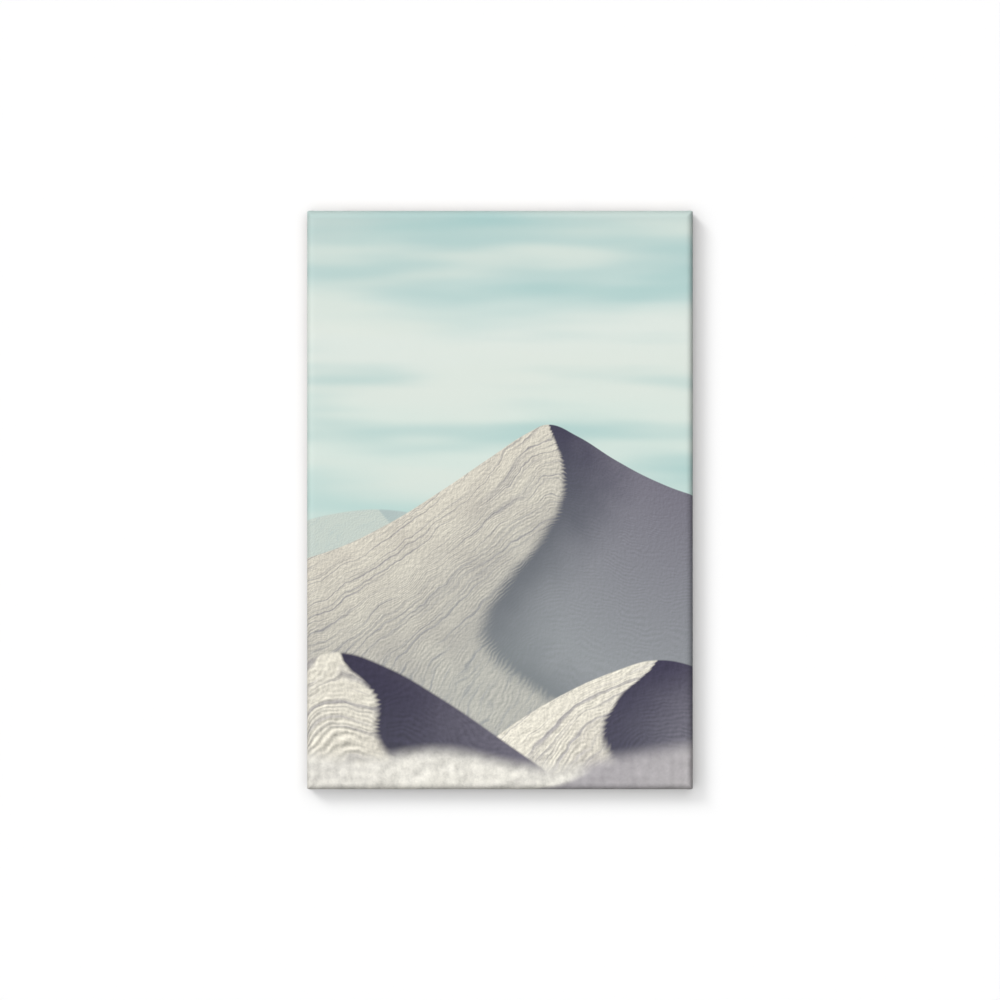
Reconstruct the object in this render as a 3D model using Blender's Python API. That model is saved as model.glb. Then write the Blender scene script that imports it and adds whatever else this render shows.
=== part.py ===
"""A stretched canvas picture, 400 x 600 mm, that hangs on a wall by a sawtooth hanger.

The printed canvas is one sheet, wrapped round a frame of four mitred wooden bars and stapled to
their backs. Eight wooden wedges in slots at the inner corners spread the frame and keep the canvas
tight. Two felt pads hold the lower edge off the wall.

Metres. X runs to the right as seen from the front, Z up, and the picture faces -Y. The wall is the
plane y = 0, and the origin is the point on the wall where the nail carries the hanger.
"""

import math

import bmesh
import bpy
from mathutils import Matrix

# Driving dimensions of the picture
PICTURE_WIDTH = 0.400
PICTURE_HEIGHT = 0.600
PICTURE_DEPTH = 0.020
WALL_STANDOFF = 0.003
NAIL_BELOW_TOP = 0.034
TOUCH_GAP = 0.0003

# Printed canvas: a sheet that turns over the bars, with a tight fold behind
CANVAS_THICKNESS = 0.0005
FRONT_EDGE_RADIUS = 0.008
BACK_FOLD_RADIUS = 0.0009
CORNER_RADIUS = 0.0012
FLAP_WIDTH = 0.022
FOLD_LENGTH = 0.040
FOLD_SINK = 0.0003

# Stretcher bars: the front face falls away from the outer lip, so that the canvas touches only that
BAR_WIDTH = 0.040
BAR_FRONT_SLOPE = 0.003
BAR_LIP_FLAT = 0.0015
BAR_EDGE_RADIUS = 0.0012
INNER_EDGE_RADIUS = 0.0018

# Corner wedges, and how deep each of the two levels lies below the bars' backs
WEDGE_THICKNESS = 0.003
WEDGE_LENGTH = 0.036
WEDGE_IN_SLOT = 0.014
WEDGE_WIDE_END = 0.011
WEDGE_NARROW_END = 0.003
WEDGE_LEVELS = (0.005, 0.0104)
WEDGE_BEVEL = 0.0003
SLOT_SIDE_ROOM = 0.0008

# Staples, driven through the flap into the bars
STAPLE_CROWN = 0.010
STAPLE_WIRE_WIDTH = 0.0010
STAPLE_WIRE_THICKNESS = 0.0006
STAPLE_LEG = 0.006
STAPLE_BEND = 0.0008
STAPLES_SHORT_SIDE = 5
STAPLES_LONG_SIDE = 8
STAPLE_PITCH_SHORT = 0.065
STAPLE_PITCH_LONG = 0.068
STAPLE_SWAY = math.radians(5)
CORNER_STAPLE_IN = 0.027
CORNER_STAPLE_DOWN = 0.0095

# Sawtooth hanger with its two nails
HANGER_LENGTH = 0.062
HANGER_HEIGHT = 0.009
HANGER_THICKNESS = 0.001
HANGER_RAISED_LENGTH = 0.038
HANGER_RAMP = 0.0025
HANGER_RAISE = 0.0017
TOOTH_PITCH = 0.003
TOOTH_DEPTH = 0.0015
TOOTH_TIP = 0.0006
TOOTH_NOTCHES = 9
TAB_CORNER = 0.002
NAIL_SPACING = 0.052
NAIL_HEAD_RADIUS = 0.0021
NAIL_HEAD_HEIGHT = 0.0008
NAIL_SHANK_RADIUS = 0.00075
NAIL_LENGTH = 0.011
NAIL_POINT = 0.0018

# Felt pads
PAD_RADIUS = 0.005
PAD_OUT = 0.150
PAD_BEVEL = 0.0005

# Planes that follow from these
BACK_Y = -WALL_STANDOFF
FRONT_Y = BACK_Y - PICTURE_DEPTH
WOOD_INSET = CANVAS_THICKNESS + TOUCH_GAP
WOOD_BACK_Y = BACK_Y - WOOD_INSET
WOOD_FRONT_Y = FRONT_Y + WOOD_INSET
TOP_Z = NAIL_BELOW_TOP
MIDDLE_Z = TOP_Z - PICTURE_HEIGHT / 2
FLAP_MIDDLE = FLAP_WIDTH / 2
QUARTER = math.pi / 2

# Each side's turn about Y from the top side, its length and how far it lies from the middle
SIDES = {
    "top": (0.0, PICTURE_WIDTH, PICTURE_HEIGHT / 2),
    "right": (QUARTER, PICTURE_HEIGHT, PICTURE_WIDTH / 2),
    "bottom": (2 * QUARTER, PICTURE_WIDTH, PICTURE_HEIGHT / 2),
    "left": (3 * QUARTER, PICTURE_HEIGHT, PICTURE_WIDTH / 2),
}
# What the low and the high end of each bar are called: low is the end that the side starts from
BAR_ENDS = {
    "top": ("left", "right"),
    "right": ("upper", "lower"),
    "bottom": ("right", "left"),
    "left": ("lower", "upper"),
}


def make_material(name, colour, roughness, metallic=0.0):
    """A Principled material of one colour."""
    material = bpy.data.materials.new(name)
    material.use_nodes = True
    shader = material.node_tree.nodes["Principled BSDF"]
    shader.inputs["Base Color"].default_value = (*colour, 1.0)
    shader.inputs["Roughness"].default_value = roughness
    shader.inputs["Metallic"].default_value = metallic
    return material


def add_object(name, mesh, material, place=Matrix.Identity(4)):
    """A named object of the scene that stands at the matrix place."""
    made = bpy.data.objects.new(name, mesh)
    bpy.context.scene.collection.objects.link(made)
    made.matrix_world = place
    if material is not None:
        mesh.materials.append(material)
    return made


def loft(name, loops):
    """A closed mesh through loops of equally many points, capped at its first and last loop."""
    shape = bmesh.new()
    rings = [[shape.verts.new(point) for point in loop] for loop in loops]
    for ring, following in zip(rings, rings[1:]):
        for here in range(len(ring)):
            there = (here + 1) % len(ring)
            shape.faces.new((ring[here], ring[there], following[there], following[here]))
    shape.faces.new(rings[0])
    shape.faces.new(rings[-1])
    bmesh.ops.recalc_face_normals(shape, faces=shape.faces)
    mesh = bpy.data.meshes.new(name)
    shape.to_mesh(mesh)
    shape.free()
    return mesh


def prism(name, outline, low_y, high_y):
    """A closed mesh: an outline of (x, z) points carried from low_y to high_y."""
    return loft(name, [[(x, y, z) for x, z in outline] for y in (low_y, high_y)])


def arc(centre, radius, start, end, steps):
    """Points on an arc about centre, from the angle start to end, both included."""
    angles = [start + (end - start) * i / steps for i in range(steps + 1)]
    return [(centre[0] + radius * math.cos(a), centre[1] + radius * math.sin(a)) for a in angles]


def round_smoothly(made, angle=30):
    """Smooth shading, with edges sharper than angle in degrees kept crisp."""
    made.data.shade_smooth()
    made.data.set_sharp_from_angle(angle=math.radians(angle))


def boolean(made, cutter, operation):
    """Cuts or joins made with another object, and hides that one."""
    step = made.modifiers.new(operation.lower(), "BOOLEAN")
    step.operation = operation
    step.solver = "EXACT"
    step.object = cutter
    cutter.hide_render = True
    cutter.display_type = "WIRE"


def joined(name, meshes):
    """One helper object that holds several separate closed meshes."""
    shape = bmesh.new()
    for mesh in meshes:
        shape.from_mesh(mesh)
        bpy.data.meshes.remove(mesh)
    whole = bpy.data.meshes.new(name)
    shape.to_mesh(whole)
    shape.free()
    return add_object(name, whole, None)


def on_side(side, along, outward):
    """The (x, z) of a point that is so far along a side and so far out from the picture's middle."""
    turn = SIDES[side][0]
    x = along * math.cos(turn) + outward * math.sin(turn)
    z = outward * math.cos(turn) - along * math.sin(turn)
    return x, z + MIDDLE_Z


# Canvas


def rectangle_ring(inset, y, steps=3):
    """A rectangle with rounded corners, inset from the picture's outline, at depth y."""
    half_x = PICTURE_WIDTH / 2 - inset - CORNER_RADIUS
    half_z = PICTURE_HEIGHT / 2 - inset - CORNER_RADIUS
    corners = ((half_x, half_z), (-half_x, half_z), (-half_x, -half_z), (half_x, -half_z))
    points = []
    for number, corner in enumerate(corners):
        points += arc(corner, CORNER_RADIUS, number * QUARTER, (number + 1) * QUARTER, steps)
    return [(x, y, z + MIDDLE_Z) for x, z in points]


def canvas_section(offset):
    """(inset, y) along the sheet's section, from the front face to the flap's cut edge.

    offset is the distance in from the outer surface: 0 for that, one thickness for the inner one.
    """
    front_centre = (FRONT_EDGE_RADIUS, FRONT_Y + FRONT_EDGE_RADIUS)
    back_centre = (BACK_FOLD_RADIUS, BACK_Y - BACK_FOLD_RADIUS)
    section = arc(front_centre, FRONT_EDGE_RADIUS - offset, -QUARTER, -2 * QUARTER, 8)
    section += arc(back_centre, BACK_FOLD_RADIUS - offset, 2 * QUARTER, QUARTER, 3)
    return section + [(FLAP_WIDTH, BACK_Y - offset)]


def fold_prism(side, end):
    """The folded layers of canvas at one corner of the back: a triangle on the top or bottom flap."""
    _, length, outward = SIDES[side]
    rim = BACK_FOLD_RADIUS
    corner = (end * (length / 2 - rim), outward - rim)
    inner = (end * (length / 2 - FLAP_WIDTH), outward - FLAP_WIDTH)
    tail = (end * (length / 2 - FOLD_LENGTH), outward - rim)
    outline = [on_side(side, *point) for point in (corner, inner, tail)]
    return prism("fold", outline, BACK_Y - FOLD_SINK, BACK_Y + CANVAS_THICKNESS)


def leg_cutters():
    """Closed boxes round every staple leg, a touching gap wider than the leg on each side."""
    half_wide = STAPLE_WIRE_WIDTH / 2 + TOUCH_GAP
    half_thick = STAPLE_WIRE_THICKNESS / 2 + TOUCH_GAP
    leg_out = STAPLE_CROWN / 2 - STAPLE_WIRE_THICKNESS / 2
    boxes = []
    for _, place in staple_places():
        deepest = -(STAPLE_LEG + TOUCH_GAP)
        for side in (-leg_out, leg_out):
            outline = [
                (side - half_thick, -half_wide),
                (side + half_thick, -half_wide),
                (side + half_thick, half_wide),
                (side - half_thick, half_wide),
            ]
            box = prism("leg room", outline, deepest, STAPLE_WIRE_THICKNESS)
            box.transform(place)
            boxes.append(box)
    return boxes


def make_canvas(material):
    """The printed sheet: a thin tray open at the back, with folded corners and staple holes."""
    outer = [rectangle_ring(inset, y) for inset, y in canvas_section(0.0)]
    inner = [rectangle_ring(inset, y) for inset, y in canvas_section(CANVAS_THICKNESS)]
    canvas = add_object("canvas", loft("canvas", outer + inner[::-1]), material)
    folds = [fold_prism(side, end) for side in ("top", "bottom") for end in (-1, 1)]
    boolean(canvas, joined("folded corners", folds), "UNION")
    boolean(canvas, joined("staple leg room in the canvas", leg_cutters()), "DIFFERENCE")
    round_smoothly(canvas)


# Stretcher bars and wedges


def bar_section():
    """(inset, y) round a bar's section. inset runs from the wood's outer side inwards."""
    lip_radius = FRONT_EDGE_RADIUS - WOOD_INSET
    lip_end = lip_radius + BAR_LIP_FLAT
    inner_front_y = WOOD_FRONT_Y + BAR_FRONT_SLOPE
    rim, inner = BAR_EDGE_RADIUS, INNER_EDGE_RADIUS
    section = arc((rim, WOOD_BACK_Y - rim), rim, QUARTER, 2 * QUARTER, 2)
    section += arc((lip_radius, WOOD_FRONT_Y + lip_radius), lip_radius, -2 * QUARTER, -QUARTER, 6)
    section += [(lip_end, WOOD_FRONT_Y)]
    section += arc((BAR_WIDTH - inner, inner_front_y + inner), inner, -QUARTER, 0.0, 3)
    section += arc((BAR_WIDTH - inner, WOOD_BACK_Y - inner), inner, 0.0, QUARTER, 3)
    return section


def inner_corner(side):
    """Where the inner edges meet at a bar's high end, as (along, outward) from the middle."""
    _, length, outward = SIDES[side]
    inset = WOOD_INSET + BAR_WIDTH
    return length / 2 - inset, outward - inset


def wedge_outline(side, end):
    """A wedge's (along, outward) corners. Its straight edge lies along the neighbouring bar."""
    along, outward = inner_corner(side)
    straight = along - TOUCH_GAP
    tip = outward + WEDGE_IN_SLOT
    tail = tip - WEDGE_LENGTH
    corners = (
        (straight, tail),
        (straight, tip),
        (straight - WEDGE_NARROW_END, tip),
        (straight - WEDGE_WIDE_END, tail),
    )
    return [(end * a, o) for a, o in corners]


def wedge_level_y(end):
    """The middle of a wedge's thickness: the two wedges of a corner lie at different levels."""
    return WOOD_BACK_Y - WEDGE_LEVELS[0 if end > 0 else 1]


def slot_cutter(side, end):
    """The slot for one wedge, open to the inner edge and to the mitre."""
    along, outward = inner_corner(side)
    share_in_slot = WEDGE_IN_SLOT / WEDGE_LENGTH
    width = WEDGE_NARROW_END + (WEDGE_WIDE_END - WEDGE_NARROW_END) * share_in_slot
    near = along - width - TOUCH_GAP - SLOT_SIDE_ROOM
    far = along + BAR_WIDTH
    low, high = outward - BAR_WIDTH, outward + WEDGE_IN_SLOT + SLOT_SIDE_ROOM
    outline = [(end * a, o) for a, o in ((near, low), (far, low), (far, high), (near, high))]
    half = WEDGE_THICKNESS / 2 + TOUCH_GAP
    middle = wedge_level_y(end)
    placed = [on_side(side, *point) for point in outline]
    return prism("slot", placed, middle - half, middle + half)


def nail_places():
    """(name, x, z) of the hanger's two nails."""
    height = HANGER_HEIGHT / 2 - TOOTH_DEPTH
    return [("left", -NAIL_SPACING / 2, height), ("right", NAIL_SPACING / 2, height)]


def nail_room():
    """Closed cylinders a touching gap wider and longer than the nails' shanks."""
    radius = NAIL_SHANK_RADIUS + TOUCH_GAP
    rooms = []
    for _, x, z in nail_places():
        outline = arc((x, z), radius, 0.0, 4 * QUARTER, 12)[:-1]
        rooms.append(prism("nail room", outline, WOOD_BACK_Y - NAIL_LENGTH, 0.0))
    return rooms


def make_bar(side, material):
    """One mitred bar with a slot at each end, and room for the staples' legs and the nails."""
    _, length, outward = SIDES[side]
    loops = []
    for end in (-1, 1):
        loop = []
        for inset, y in bar_section():
            reach = length / 2 - WOOD_INSET - inset - TOUCH_GAP / 2
            x, z = on_side(side, end * reach, outward - WOOD_INSET - inset)
            loop.append((x, y, z))
        loops.append(loop)
    bar = add_object(f"{side}_bar", loft(f"{side}_bar", loops), material)
    cutters = [slot_cutter(side, end) for end in (-1, 1)] + leg_cutters()
    if side == "top":
        cutters += nail_room()
    boolean(bar, joined(f"room in the {side} bar", cutters), "DIFFERENCE")
    round_smoothly(bar)


def make_wedges(side, material):
    """The two wedges whose points sit in one bar's slots."""
    for end, end_name in zip((-1, 1), BAR_ENDS[side]):
        outline = [on_side(side, *point) for point in wedge_outline(side, end)]
        middle = wedge_level_y(end)
        half = WEDGE_THICKNESS / 2
        name = f"wedge_{side}_bar_{end_name}"
        wedge = add_object(name, prism(name, outline, middle - half, middle + half), material)
        bevel = wedge.modifiers.new("eased edges", "BEVEL")
        bevel.width = WEDGE_BEVEL
        bevel.segments = 1
        round_smoothly(wedge)


# Staples


def staple_places():
    """(name, matrix) of each staple. In its own frame the crown lies along X and y points out."""
    crown_y = BACK_Y + TOUCH_GAP
    places = []
    for side, (turn, length, outward) in SIDES.items():
        short = length == PICTURE_WIDTH
        count = STAPLES_SHORT_SIDE if short else STAPLES_LONG_SIDE
        pitch = STAPLE_PITCH_SHORT if short else STAPLE_PITCH_LONG
        for number in range(count):
            along = (number - (count - 1) / 2) * pitch
            x, z = on_side(side, along, outward - FLAP_MIDDLE)
            sway = STAPLE_SWAY * math.sin(2.4 * number + turn)
            matrix = Matrix.Translation((x, crown_y, z)) @ Matrix.Rotation(turn + sway, 4, "Y")
            places.append((f"staple_{side}_{number + 1}", matrix))
    for side in ("top", "bottom"):
        _, length, outward = SIDES[side]
        for end, end_name in zip((-1, 1), BAR_ENDS[side]):
            along = end * (length / 2 - CORNER_STAPLE_IN)
            x, z = on_side(side, along, outward - CORNER_STAPLE_DOWN)
            turn = SIDES[side][0] + end * QUARTER / 2
            matrix = Matrix.Translation((x, crown_y + CANVAS_THICKNESS, z))
            matrix = matrix @ Matrix.Rotation(turn, 4, "Y")
            places.append((f"staple_{side}_{end_name}_corner", matrix))
    return places


def staple_mesh():
    """A staple of flat wire: two legs and a crown, bent round in between, with cut ends."""
    half_width = STAPLE_WIRE_WIDTH / 2
    thick = STAPLE_WIRE_THICKNESS
    edge = STAPLE_CROWN / 2
    bend = (edge - STAPLE_BEND - thick, -STAPLE_BEND)
    half_path = [((edge, -STAPLE_LEG), (edge - thick, -STAPLE_LEG + thick / 2))]
    outside = arc(bend, STAPLE_BEND + thick, 0.0, QUARTER, 3)
    inside = arc(bend, STAPLE_BEND, 0.0, QUARTER, 3)
    half_path += list(zip(outside, inside))
    mirrored = [tuple((-x, y) for x, y in pair) for pair in half_path[::-1]]
    loops = []
    for outer, inner in half_path + mirrored:
        corners = ((outer, -half_width), (outer, half_width), (inner, half_width), (inner, -half_width))
        loops.append([(point[0], point[1], z) for point, z in corners])
    return loft("staple", loops)


def make_staples(material):
    """Every staple, as an object of its own that shares one mesh."""
    mesh = staple_mesh()
    mesh.materials.append(material)
    for name, place in staple_places():
        add_object(name, mesh, None, place)


# Hanger, nails and felt pads


def hanger_section():
    """(x, y) round the hanger's section seen from above: flat tabs and a raised middle."""
    low = WOOD_BACK_Y + TOUCH_GAP
    high = low + HANGER_RAISE
    end, middle = HANGER_LENGTH / 2, HANGER_RAISED_LENGTH / 2
    front = [(-end, low), (-middle - HANGER_RAMP, low), (-middle, high)]
    front += [(-x, y) for x, y in front[::-1]]
    return front + [(x, y + HANGER_THICKNESS) for x, y in front[::-1]]


def hanger_outline():
    """(x, z) round the hanger seen from behind: tabs with cut corners, and teeth that point down.

    The flat-tipped teeth stand between notches, and the middle notch's top is at the origin.
    """
    end, top, low = HANGER_LENGTH / 2, HANGER_HEIGHT - TOOTH_DEPTH, -TOOTH_DEPTH
    outline = [(-end, low + TAB_CORNER), (TAB_CORNER - end, low)]
    for number in range(TOOTH_NOTCHES):
        x = (number - (TOOTH_NOTCHES - 1) / 2) * TOOTH_PITCH
        half = (TOOTH_PITCH - TOOTH_TIP) / 2
        outline += [(x - half, low), (x, 0.0), (x + half, low)]
    outline += [(end - TAB_CORNER, low), (end, low + TAB_CORNER)]
    outline += [(end, top - TAB_CORNER), (end - TAB_CORNER, top)]
    return outline + [(TAB_CORNER - end, top), (-end, top - TAB_CORNER)]


def make_hanger(material):
    """A bent strip of sheet steel, cut to its outline, with a nail hole in each tab."""
    low, high = -2 * TOOTH_DEPTH, HANGER_HEIGHT
    loops = [[(x, y, z) for x, y in hanger_section()] for z in (low, high)]
    hanger = add_object("sawtooth_hanger", loft("sawtooth_hanger", loops), material)
    outline = prism("hanger outline", hanger_outline(), WOOD_BACK_Y, 0.0)
    boolean(hanger, add_object("hanger outline", outline, None), "INTERSECT")
    boolean(hanger, joined("nail holes in the hanger", nail_room()), "DIFFERENCE")


def make_nails(material):
    """Two round nails with domed heads, turned about their own axes."""
    tab_back = WOOD_BACK_Y + TOUCH_GAP + HANGER_THICKNESS
    head_y = tab_back + TOUCH_GAP
    dome = [
        (NAIL_SHANK_RADIUS / 5, head_y - NAIL_LENGTH),
        (NAIL_SHANK_RADIUS, head_y - NAIL_LENGTH + NAIL_POINT),
        (NAIL_SHANK_RADIUS, head_y),
        (NAIL_HEAD_RADIUS, head_y),
        (NAIL_HEAD_RADIUS, head_y + NAIL_HEAD_HEIGHT * 0.45),
        (NAIL_HEAD_RADIUS * 0.72, head_y + NAIL_HEAD_HEIGHT * 0.85),
        (NAIL_HEAD_RADIUS * 0.3, head_y + NAIL_HEAD_HEIGHT),
    ]
    for name, x, z in nail_places():
        loops = []
        for radius, y in dome:
            circle = arc((x, z), radius, 0.0, 4 * QUARTER, 16)[:-1]
            loops.append([(px, y, pz) for px, pz in circle])
        nail = add_object(f"hanger_nail_{name}", loft(f"hanger_nail_{name}", loops), material)
        round_smoothly(nail, 50)


def make_pads(material):
    """Two round felt pads on the lower flap, flat against the wall."""
    z = MIDDLE_Z - PICTURE_HEIGHT / 2 + FLAP_MIDDLE
    near = BACK_Y + TOUCH_GAP
    section = ((PAD_RADIUS, near), (PAD_RADIUS, -PAD_BEVEL), (PAD_RADIUS - PAD_BEVEL, 0.0))
    for name, x in (("left", -PAD_OUT), ("right", PAD_OUT)):
        loops = []
        for radius, y in section:
            circle = arc((x, z), radius, 0.0, 4 * QUARTER, 24)[:-1]
            loops.append([(px, y, pz) for px, pz in circle])
        pad = add_object(f"felt_pad_{name}", loft(f"felt_pad_{name}", loops), material)
        round_smoothly(pad)


def main():
    for old in list(bpy.data.objects):
        bpy.data.objects.remove(old)
    printed = make_material("printed canvas", (0.50, 0.58, 0.55), 0.75)
    pine = make_material("planed pine", (0.66, 0.46, 0.26), 0.6)
    beech = make_material("sawn beech", (0.52, 0.31, 0.16), 0.65)
    wire = make_material("galvanised wire", (0.62, 0.62, 0.60), 0.3, 1.0)
    zinc = make_material("zinc-plated steel", (0.70, 0.68, 0.62), 0.35, 1.0)
    felt = make_material("grey felt", (0.30, 0.30, 0.29), 0.95)
    make_canvas(printed)
    for side in SIDES:
        make_bar(side, pine)
        make_wedges(side, beech)
    make_staples(wire)
    make_hanger(zinc)
    make_nails(zinc)
    make_pads(felt)


main()
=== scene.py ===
"""The looks of a stretched canvas picture, 400 x 600 mm, that hangs on a wall by a sawtooth hanger.

Metres. X runs to the right as seen from the front, Z up, the picture faces -Y, and the wall is the
plane y = 0.
"""

import bmesh
import bpy
import numpy as np
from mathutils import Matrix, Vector


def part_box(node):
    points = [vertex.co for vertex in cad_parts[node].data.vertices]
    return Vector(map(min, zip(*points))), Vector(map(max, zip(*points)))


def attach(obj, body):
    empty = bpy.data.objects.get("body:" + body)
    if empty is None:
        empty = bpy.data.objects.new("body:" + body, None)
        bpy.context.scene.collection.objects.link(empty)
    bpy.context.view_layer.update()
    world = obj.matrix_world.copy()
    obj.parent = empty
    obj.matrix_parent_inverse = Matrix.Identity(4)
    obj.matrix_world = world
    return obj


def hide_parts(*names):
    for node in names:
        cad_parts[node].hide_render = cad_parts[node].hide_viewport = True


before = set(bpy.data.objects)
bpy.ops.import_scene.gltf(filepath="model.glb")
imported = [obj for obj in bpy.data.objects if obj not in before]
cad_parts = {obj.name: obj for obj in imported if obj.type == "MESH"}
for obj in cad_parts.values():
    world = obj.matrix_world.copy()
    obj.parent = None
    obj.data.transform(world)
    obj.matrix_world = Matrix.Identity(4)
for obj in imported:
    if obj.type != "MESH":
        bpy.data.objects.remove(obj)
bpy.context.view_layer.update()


# Camera
# The picture is seen straight on with a long lens, so that no side of it shows. One metre of wall
# at the picture's depth spans 963 of the image's 1000 pixels.

METRES_ACROSS_VIEW = 1.0384
LENS_MM = 100
SENSOR_MM = 36

picture_low, picture_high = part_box("canvas")
picture_middle = (picture_low + picture_high) / 2
camera_data = bpy.data.cameras.new("camera")
camera_data.lens = LENS_MM
camera_data.sensor_width = SENSOR_MM
camera = bpy.data.objects.new("camera", camera_data)
camera_distance = METRES_ACROSS_VIEW * LENS_MM / SENSOR_MM
camera.location = (picture_middle.x, picture_middle.y - camera_distance, picture_middle.z)
camera.rotation_euler = (np.pi / 2, 0, 0)
bpy.context.scene.collection.objects.link(camera)
bpy.context.scene.camera = camera


# Printed canvas
# One sheet of primed poly-cotton canvas, printed with pale dunes under a hazy sky. It is wrapped
# tight over the bars, turned over at the back, and its corners are folded flat.

CANVAS_THICKNESS = 0.0005
TOUCH_GAP = 0.0003
FRONT_EDGE_RADIUS = 0.008
BACK_FOLD_RADIUS = 0.0009
CORNER_RADIUS = 0.0012
FLAP_WIDTH = 0.022
PRINT_ON_FLAP = 0.007
PLEAT_EDGE = 0.0015
PLEAT_EDGE_FADE = 0.0006
PLEAT_DIP = 0.0004
PLEAT_LENGTH = 0.020
PLEAT_RISE = 0.0003
PLEAT_RISE_FADE = 0.0025
FLAP_LIFT = 0.0006
FLAT_NEAR_CORNER = 0.03
CUT_EDGE_WAVE = 0.0003
# Waves along the flap, in radians a metre: two that lift it and two in its cut edge
LIFT_WAVE = 96
SLOW_LIFT_WAVE = 41
CUT_WAVE = 137
SLOW_CUT_WAVE = 61
# Rows of faces across each stretch of the wrap, and columns round each corner
EDGE_ROWS = 12
SIDE_ROWS = 7
FOLD_ROWS = 4
FLAP_ROWS = 11
CORNER_STEPS = 6

half_width = (picture_high.x - picture_low.x) / 2
half_height = (picture_high.z - picture_low.z) / 2
front_y = picture_low.y
back_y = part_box("left_bar")[1].y + CANVAS_THICKNESS + TOUCH_GAP
edge_run = FRONT_EDGE_RADIUS * np.pi / 2
side_run = back_y - BACK_FOLD_RADIUS - front_y - FRONT_EDGE_RADIUS
fold_run = BACK_FOLD_RADIUS * np.pi / 2
flap_run = FLAP_WIDTH - BACK_FOLD_RADIUS
whole_run = edge_run + side_run + fold_run + flap_run


def wrap(run):
    """Inset from the picture's outline, and y, at a distance run past the flat front.

    The path is a quarter circle round the front edge, a straight side, a tight quarter circle
    round the back edge and a straight flap. Each stretch adds its own share.
    """
    round_front = np.clip(run, 0, edge_run) / FRONT_EDGE_RADIUS
    along_side = np.clip(run - edge_run, 0, side_run)
    round_back = np.clip(run - edge_run - side_run, 0, fold_run) / BACK_FOLD_RADIUS
    along_flap = np.clip(run - edge_run - side_run - fold_run, 0, None)
    inset = FRONT_EDGE_RADIUS * (1 - np.sin(round_front))
    inset += BACK_FOLD_RADIUS * (1 - np.cos(round_back)) + along_flap
    y = front_y + FRONT_EDGE_RADIUS * (1 - np.cos(round_front)) + along_side
    return inset, y + BACK_FOLD_RADIUS * np.sin(round_back)


def spread(half, fine=0.002, coarse=0.0045, fine_length=0.042):
    """Fractions from -1 to 1 along a side, closer together near its ends."""
    near_end = np.arange(0, fine_length, fine)
    middle = np.linspace(fine_length, half, int((half - fine_length) / coarse) + 1)
    from_end = np.concatenate([near_end, middle])
    low_half = from_end / half - 1
    return np.concatenate([low_half, -low_half[-2::-1]])


def ring_columns(across, upright):
    """Round the outline, anticlockwise from the lower right: each column's fraction along X and
    along Z, its turn round a corner, and the side that the faces after it lie on."""
    turn = np.linspace(0, np.pi / 2, CORNER_STEPS + 1)[1:-1]
    inner = np.zeros(len(turn))
    columns = []
    for side in range(4):
        along = upright if side % 2 == 0 else across
        sign = 1 if side < 2 else -1
        fraction = along * (1 if side in (0, 3) else -1)
        full = np.full(len(along), float(sign))
        share_x, share_z = (full, fraction) if side % 2 == 0 else (fraction, full)
        quarter = side * np.pi / 2
        columns.append(np.stack([share_x, share_z, np.full_like(full, quarter),
                                 np.full_like(full, side)]))
        corner_x, corner_z = [(1, 1), (-1, 1), (-1, -1), (1, -1)][side]
        arc_side = np.where(turn < np.pi / 4, side, (side + 1) % 4)
        columns.append(np.stack([inner + corner_x, inner + corner_z, quarter + turn, arc_side]))
    return np.concatenate(columns, axis=1)


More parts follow.
